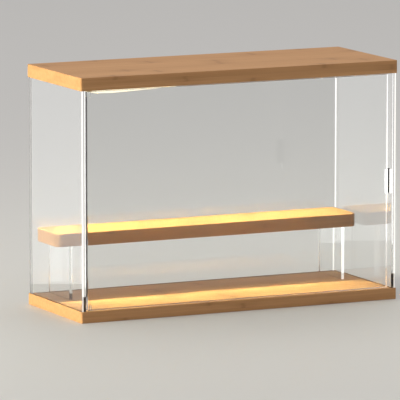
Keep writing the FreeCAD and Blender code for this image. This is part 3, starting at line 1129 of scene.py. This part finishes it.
@dataclass
class Power:
    """The lead in the top and the inlet at its rear edge."""

    contacts: int = 6
    contact_share: float = 0.55
    contact_thick: float = 0.04 * MILLI
    contact_round: float = 0.25
    contact_rings: int = 5
    contact_around: int = 16
    reach_share: float = 0.72
    black: Colour = (0.02, 0.02, 0.022)
    black_cloud: Colour = (0.035, 0.035, 0.037)
    sheath_rough: float = 0.55
    tongue_rough: float = 0.5
    gilt: Metal = Metal("gilt", (0.83, 0.62, 0.24), (0.66, 0.47, 0.16), 0.18, along=Axis.Y)

    def build(self) -> None:
        """Dress the lead and the inlet, and lay the contacts on its tongue."""
        dress("lamp_lead", Moulded("black_sheath", self.black, self.black_cloud, self.sheath_rough))
        dress("power_inlet", Metal("steel_inlet", along=Axis.Y))
        dress("inlet_tongue", Moulded("inlet_moulding", self.black, self.black_cloud, self.tongue_rough))
        self.lay_contacts()

    def lay_contacts(self) -> None:
        """Lay a row of gilt contacts on each face of the tongue.

        Each contact is a flat rounded block, spaced evenly across the tongue.
        """
        low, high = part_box("inlet_tongue")
        pitch = (high.x - low.x) / self.contacts
        long = (high.y - low.y) * self.reach_share
        half = (pitch * self.contact_share / 2, long / 2, self.contact_thick)
        form = (self.contact_round, self.contact_rings, self.contact_around)
        blocks = []
        for face in (low.z, high.z):
            for i in range(self.contacts):
                x = low.x + (i + MIDDLE_SHARE) * pitch
                centre = (x, high.y - long / 2 - half[0], face)
                blocks.append(rounded_block(centre, half, *form))
        piece = closed_tube("inlet_contacts", blocks)
        add_piece(piece, Body.CASE, self.gilt)


# Studio


@dataclass(frozen=True)
class Softbox:
    """A soft rectangular light, aimed at a point."""

    name: str
    place: Point
    aim: Point
    wide: float
    high: float
    power: float
    colour: Colour = (1.0, 1.0, 1.0)
    seen: bool = True
    spread_deg: float = 180.0
    through: bool = False
    spared: bpy.types.Collection | None = None

    def build(self) -> None:
        """Set the light up."""
        data = bpy.data.lights.new(self.name, "AREA")
        data.shape = "RECTANGLE"
        data.size, data.size_y = self.wide, self.high
        data.energy = self.power
        data.spread = math.radians(self.spread_deg)
        data.color = self.colour
        light = bpy.data.objects.new(self.name, data)
        light.location = self.place
        way = Vector(self.aim) - Vector(self.place)
        light.rotation_euler = way.to_track_quat("-Z", "Y").to_euler()
        light.visible_camera = False
        light.visible_transmission = self.through
        light.visible_glossy = self.seen
        light.light_linking.receiver_collection = self.spared
        bpy.context.scene.collection.objects.link(light)
        log.info("%s: %.3f W", self.name, self.power)


@dataclass(frozen=True)
class Wash:
    """A long warm light that stands for the glow of the lamp and shines straight down."""

    name: str
    depth: float
    long: float
    wide: float
    power: float
    spread_deg: float
    along: float = 0.0


@dataclass
class Studio:
    """A pale floor, a pale surround and soft lights."""

    floor_half: float = 12.0
    floor_points: int = 9
    surround_front: Colour = (0.15, 0.14, 0.13)
    surround_back: Colour = (0.46, 0.45, 0.44)
    surround_high: Colour = (0.76, 0.75, 0.74)
    back_band: Band = (-0.2, 0.6)
    high_band: Band = (0.0, 0.9)
    key: Softbox = Softbox(
        "key_left", (-4.5, 0.18, 0.62), CASE_MIDDLE, wide=1.2, high=0.6, power=8.2,
        colour=(1.0, 0.98, 0.76), seen=False, spread_deg=24,
    )
    soft: Softbox = Softbox(
        "top_soft", (-0.1, 0.9, 3.0), CASE_MIDDLE, wide=3.0, high=3.0, power=16, colour=(1.0, 0.95, 0.90)
    )
    veil_reach: float = 0.25
    veil_wide: float = 0.36
    veil_high: float = 0.26
    veil_power: float = 0.005
    veil_spread_deg: float = 30.0
    card_reach: float = 0.12
    card_wide: float = 0.0065
    card_high: float = 0.032
    card_power: float = 0.0009
    wash_high: float = 0.2085
    wash_colour: Colour = (1.0, 0.98, 0.53)
    washes: tuple[Wash, ...] = (
        Wash("wash_base", depth=-0.026, long=0.270, wide=0.014, power=0.040, spread_deg=40),
        Wash("wash_shelf", depth=0.029, long=0.300, wide=0.014, power=0.35, spread_deg=60),
        Wash("wash_end", depth=0.029, long=0.040, wide=0.014, power=0.05, spread_deg=60, along=-0.137),
    )

    def build(self) -> None:
        """Lay the floor, colour the surround and set up the lights."""
        self.lay_floor()
        self.colour_surround()
        for light in self.lights():
            light.build()

    def lay_floor(self) -> None:
        """Lay the floor as a flat grid of points."""
        count = self.floor_points
        line = np.linspace(-self.floor_half, self.floor_half, count)
        x, y = np.meshgrid(line, line, indexing="ij")
        points = np.stack([x, y, np.zeros_like(x)], axis=-1).reshape(-1, 3)
        i, j = np.meshgrid(np.arange(count - 1), np.arange(count - 1), indexing="ij")
        first = (i * count + j).ravel()
        faces = np.stack([first, first + count, first + count + 1, first + 1], axis=1)
        mesh = bpy.data.meshes.new("floor")
        mesh.from_pydata(points.tolist(), [], faces.tolist())
        mesh.materials.append(PaleFloor("pale_floor").material())
        floor = bpy.data.objects.new("floor", mesh)
        bpy.context.scene.collection.objects.link(floor)

    def colour_surround(self) -> None:
        """Colour the surround: dim in front of the door, pale behind the case and overhead."""
        world = bpy.data.worlds.new("surround")
        world.use_nodes = True
        graph = Graph(world.node_tree)
        way = graph.node("ShaderNodeTexCoord", output="Generated")
        _, back, up = graph.split(way)
        low = graph.mix(back.step(*self.back_band), self.surround_front, self.surround_back)
        colour = graph.mix(up.step(*self.high_band), low, self.surround_high)
        light = graph.node("ShaderNodeBackground", inputs={"Color": colour})
        graph.node("ShaderNodeOutputWorld", inputs={"Surface": light})
        bpy.context.scene.world = world

    def lights(self) -> list[Softbox]:
        """List the lights: a warm key from the left, a soft top light, two cards and the lamp's washes.

        Returns:
            The lights, ready to build.
        """
        spared = self.spare("floor")
        washes = [self.wash(wash, spared) for wash in self.washes]
        return [self.key, self.soft, self.veil_card(), self.catch_card(), *washes]

    def veil_card(self) -> Softbox:
        """Give a gridded card behind the case that the side panels mirror to the camera as a faint veil.

        Returns:
            The light, ready to build.
        """
        middle = Vector(CASE_MIDDLE)
        sight = Viewpoint().sight(middle)
        place = middle + Vector((-sight.x, sight.y, sight.z)) * self.veil_reach
        return Softbox(
            "veil_card", tuple(place), CASE_MIDDLE, self.veil_wide, self.veil_high, self.veil_power,
            spread_deg=self.veil_spread_deg, through=True,
        )

    def catch_card(self) -> Softbox:
        """Give a small card that stands where the strips of the catch mirror it to the camera.

        Returns:
            The light, ready to build.
        """
        low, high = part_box("door_magnet")[0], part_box("side_magnet")[1]
        catch = Vector(((low.x + high.x) / 2, low.y, (low.z + high.z) / 2))
        sight = Viewpoint().sight(catch)
        place = catch + Vector((sight.x, -sight.y, sight.z)) * self.card_reach
        return Softbox(
            "catch_card", tuple(place), tuple(catch), self.card_wide, self.card_high, self.card_power
        )

    def spare(self, name: str) -> bpy.types.Collection:
        """Give a collection that keeps a light off the named object.

        Args:
            name: The object's name.

        Returns:
            The collection, for a light's receivers.
        """
        spared = bpy.data.collections.new(f"{name}_spared")
        spared.objects.link(bpy.data.objects[name])
        spared.collection_objects[0].light_linking.link_state = "EXCLUDE"
        return spared

    def wash(self, wash: Wash, spared: bpy.types.Collection) -> Softbox:
        """Give the light of a wash, under the top.

        Args:
            wash: The wash.
            spared: What the wash doesn't light.

        Returns:
            The light, ready to build.
        """
        place, aim = (wash.along, wash.depth, self.wash_high), (wash.along, wash.depth, 0.0)
        return Softbox(
            wash.name, place, aim, wash.long, wash.wide, wash.power, self.wash_colour,
            seen=False, spread_deg=wash.spread_deg, spared=spared,
        )


@dataclass
class Viewpoint:
    """A camera with a very long lens, to the left of the front and a little above."""

    bearing_deg: float = 25.467
    drop_deg: float = 8.349
    aim: Point = (-0.02095, -0.01632, 0.09832)
    distance: float = 4.76
    lens: float = 466.72
    sensor: float = 36.0

    def way(self) -> Vector:
        """Give the direction that the camera looks in.

        Returns:
            The direction, one unit long.
        """
        turn, drop = math.radians(self.bearing_deg), math.radians(self.drop_deg)
        level = math.cos(drop)
        return Vector((math.sin(turn) * level, math.cos(turn) * level, -math.sin(drop)))

    def place(self) -> Vector:
        """Give the point where the camera stands."""
        return Vector(self.aim) - self.way() * self.distance

    def sight(self, point: Vector) -> Vector:
        """Give the direction from the camera to a point, one unit long."""
        return (point - self.place()).normalized()

    def build(self) -> None:
        """Set the camera up and make it the scene's own."""
        data = bpy.data.cameras.new("viewpoint")
        data.lens, data.sensor_width = self.lens, self.sensor
        camera = bpy.data.objects.new("viewpoint", data)
        camera.location = self.place()
        tilt = math.radians(90 - self.drop_deg)
        camera.rotation_euler = (tilt, 0, -math.radians(self.bearing_deg))
        bpy.context.scene.collection.objects.link(camera)
        bpy.context.scene.camera = camera


def set_light_paths() -> None:
    """Let rays pass through many sheets at full strength, and show colours as they are.

    With the indirect samples clamped, a surface seen through a sheet would come out
    darker than the same surface beside it.
    """
    scene = bpy.context.scene
    scene.cycles.sample_clamp_indirect = NO_CLAMP
    scene.cycles.max_bounces = BOUNCES
    scene.cycles.glossy_bounces = BOUNCES
    scene.cycles.transmission_bounces = BOUNCES
    scene.cycles.transparent_max_bounces = BOUNCES
    scene.view_settings.view_transform = "Standard"


def main() -> None:
    """Build the sub-assemblies, the studio and the camera."""
    logging.basicConfig(level=logging.INFO, format="%(message)s")
    for part in (Boards(), Panels(), Door(), Riser(), Lamp(), Power(), Studio(), Viewpoint()):
        part.build()
    set_light_paths()


if __name__ == "__main__":
    main()
